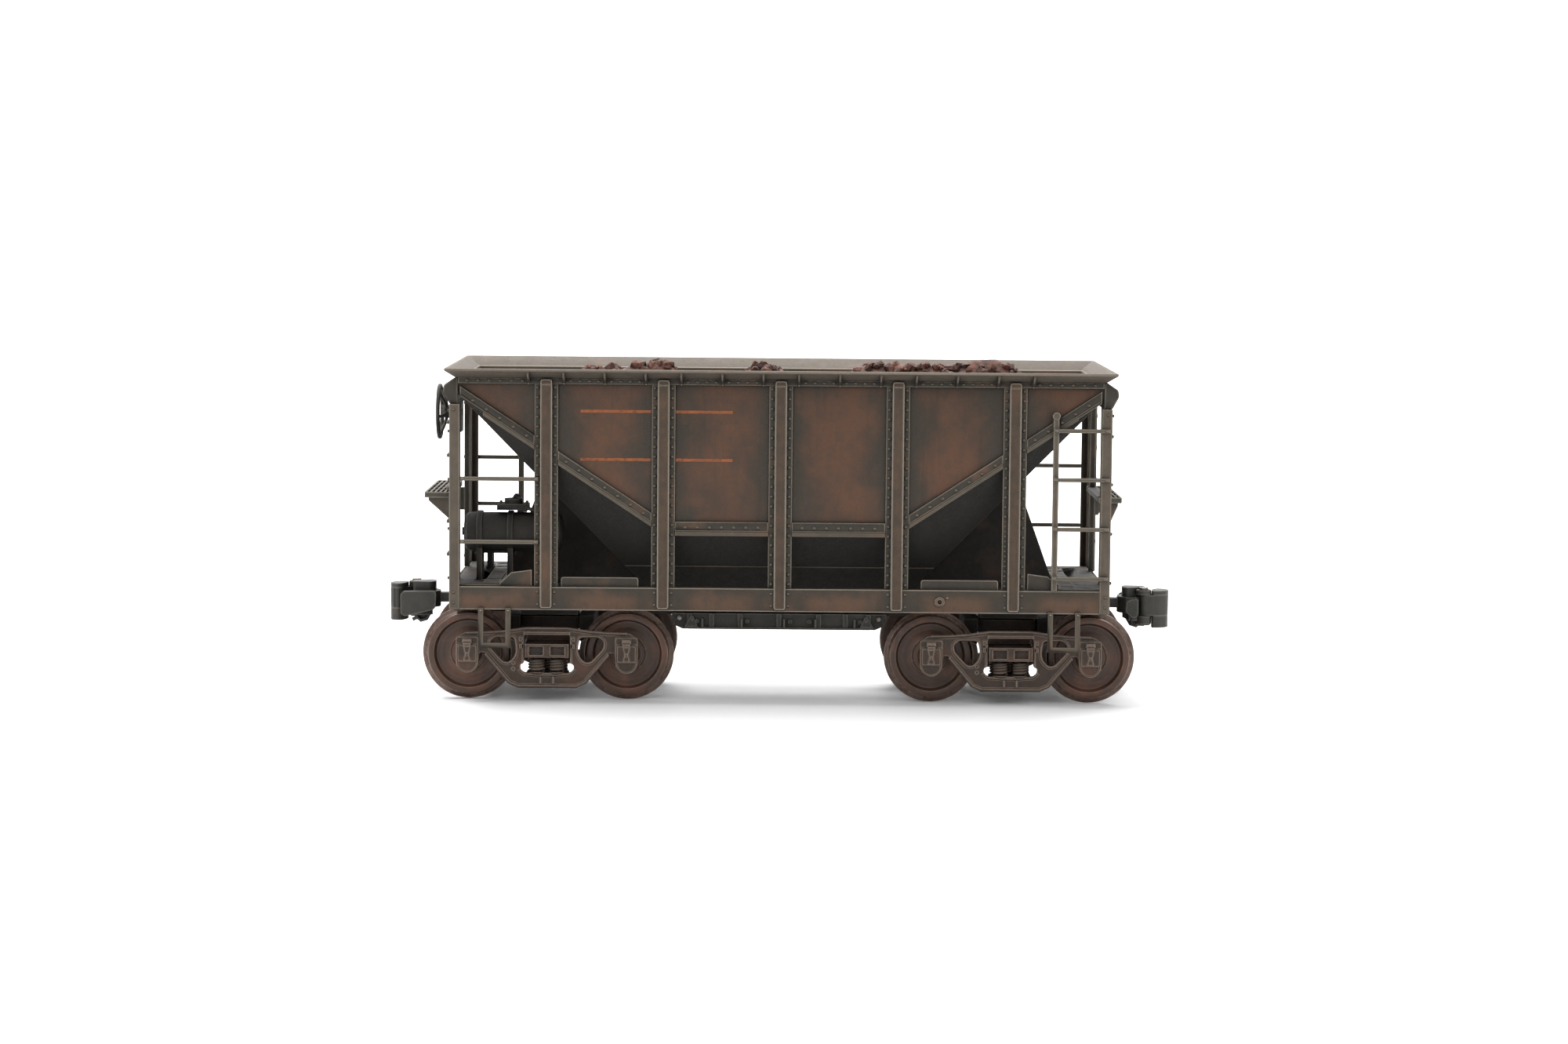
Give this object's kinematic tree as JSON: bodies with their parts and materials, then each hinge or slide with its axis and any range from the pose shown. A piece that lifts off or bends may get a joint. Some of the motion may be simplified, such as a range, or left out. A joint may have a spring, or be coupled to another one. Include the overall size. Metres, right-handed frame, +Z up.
{
  "type": "model ore hopper car",
  "caption": "Scale model railway hopper car for ore, with flared coping, sloping hopper, swivelling trucks, rolling wheelsets, opening doors and knuckle couplers.",
  "frame": {"origin": "under the middle of the car, level with the lowest point of the wheel flanges", "axes": "+X along the car, away from the hand-brake end; +Y across it; +Z up"},
  "size_m": [0.1706, 0.0586, 0.0728],
  "materials": {
    "body_paint": "weathered matt paint on moulded plastic",
    "coping_paint": "weathered matt paint, worn lighter on the lip",
    "trim_paint": "weathered matt paint with rust wash",
    "detail_paint": "dark weathered matt paint",
    "underframe_paint": "dark weathered matt paint on die-cast metal",
    "steel": "turned steel",
    "wheel_rust": "rust-brown weathered wheel",
    "truck_rust": "rust-brown weathered casting",
    "spring_steel": "rusty spring steel",
    "coupler_metal": "dark grey-green cast metal",
    "ore": "dark red-brown crushed ore"
  },
  "bodies": {
    "car_body": {"air_reservoir": "detail_paint", "body_bolsters": "underframe_paint", "brace_plates": "trim_paint", "brake_cylinder": "detail_paint", "brake_housing": "detail_paint", "centre_sill": "underframe_paint", "control_valve": "detail_paint", "coping_rim": "coping_paint", "corner_posts": "trim_paint", "diagonal_bands": "trim_paint", "door_frame": "detail_paint", "door_hinge_pins": "steel", "draft_boxes": "underframe_paint", "end_chords": "trim_paint", "end_ladders": "detail_paint", "end_platforms": "trim_paint", "end_posts": "trim_paint", "end_sills": "trim_paint", "end_steps": "detail_paint", "hopper_shell": "body_paint", "king_pins": "steel", "ledge_strips": "trim_paint", "reservoir_straps": "detail_paint", "rim_ribs": "trim_paint", "side_grab_irons": "detail_paint", "side_ladders": "detail_paint", "side_posts": "trim_paint", "side_sills": "trim_paint", "side_top_bands": "trim_paint", "sill_gussets": "trim_paint", "step_brackets": "detail_paint", "stirrup_steps": "detail_paint"},
    "brake_wheel": {"brake_wheel": "detail_paint", "brake_shaft": "detail_paint"},
    "door_a": {"door_leaf_a": "detail_paint"},
    "door_b": {"door_leaf_b": "detail_paint"},
    "ore": {"ore_load": "ore"},
    "coupler_a": {"coupler_a": "coupler_metal", "knuckle_pin_a": "steel"},
    "coupler_b": {"coupler_b": "coupler_metal", "knuckle_pin_b": "steel"},
    "knuckle_a": {"knuckle_a": "coupler_metal"},
    "knuckle_b": {"knuckle_b": "coupler_metal"},
    "truck_a": {"truck_a_bolster": "truck_rust", "truck_a_frame_near": "truck_rust", "truck_a_frame_far": "truck_rust", "truck_a_springs": "spring_steel"},
    "truck_b": {"truck_b_bolster": "truck_rust", "truck_b_frame_near": "truck_rust", "truck_b_frame_far": "truck_rust", "truck_b_springs": "spring_steel"},
    "wheelset_1": {"axle_1": "steel", "wheels_1": "wheel_rust"},
    "wheelset_2": {"axle_2": "steel", "wheels_2": "wheel_rust"},
    "wheelset_3": {"axle_3": "steel", "wheels_3": "wheel_rust"},
    "wheelset_4": {"axle_4": "steel", "wheels_4": "wheel_rust"}
  },
  "joints": [
    {"name": "brake_wheel_spin", "type": "hinge", "parent": "car_body", "child": "brake_wheel", "pos_m": [-0.0741, 0.007, 0.0604], "axis": [1, 0, 0], "continuous": true},
    {"name": "door_a_swing", "type": "hinge", "parent": "car_body", "child": "door_a", "pos_m": [-0.0216, 0, 0.017], "axis": [0, 1, 0], "range_deg": [0, 40]},
    {"name": "door_b_swing", "type": "hinge", "parent": "car_body", "child": "door_b", "pos_m": [0.0216, 0, 0.017], "axis": [0, -1, 0], "range_deg": [0, 40]},
    {"name": "ore_lift", "type": "slide", "parent": "car_body", "child": "ore", "axis": [0, 0, 1], "range_m": [0, 0.03]},
    {"name": "truck_a_swivel", "type": "hinge", "parent": "car_body", "child": "truck_a", "pos_m": [-0.0496, 0, 0.019], "axis": [0, 0, 1], "range_deg": [-12, 12]},
    {"name": "coupler_a_swing", "type": "hinge", "parent": "car_body", "child": "coupler_a", "pos_m": [-0.063, 0, 0.0202], "axis": [0, 0, 1], "range_deg": [-12, 12]},
    {"name": "knuckle_a_open", "type": "hinge", "parent": "coupler_a", "child": "knuckle_a", "pos_m": [-0.0796, 0.003, 0.0202], "axis": [0, 0, -1], "range_deg": [0, 35]},
    {"name": "truck_b_swivel", "type": "hinge", "parent": "car_body", "child": "truck_b", "pos_m": [0.0496, 0, 0.019], "axis": [0, 0, 1], "range_deg": [-12, 12]},
    {"name": "coupler_b_swing", "type": "hinge", "parent": "car_body", "child": "coupler_b", "pos_m": [0.063, 0, 0.0202], "axis": [0, 0, 1], "range_deg": [-12, 12]},
    {"name": "knuckle_b_open", "type": "hinge", "parent": "coupler_b", "child": "knuckle_b", "pos_m": [0.0796, -0.003, 0.0202], "axis": [0, 0, -1], "range_deg": [0, 35]},
    {"name": "wheelset_1_roll", "type": "hinge", "parent": "truck_a", "child": "wheelset_1", "pos_m": [-0.06663, 0, 0.01], "axis": [0, 1, 0], "continuous": true},
    {"name": "wheelset_2_roll", "type": "hinge", "parent": "truck_a", "child": "wheelset_2", "pos_m": [-0.03257, 0, 0.01], "axis": [0, 1, 0], "continuous": true},
    {"name": "wheelset_3_roll", "type": "hinge", "parent": "truck_b", "child": "wheelset_3", "pos_m": [0.03257, 0, 0.01], "axis": [0, 1, 0], "continuous": true},
    {"name": "wheelset_4_roll", "type": "hinge", "parent": "truck_b", "child": "wheelset_4", "pos_m": [0.06663, 0, 0.01], "axis": [0, 1, 0], "continuous": true}
  ],
  "couplings": [
    {"joint": "door_b_swing", "follows": "door_a_swing", "ratio": 1}
  ]
}
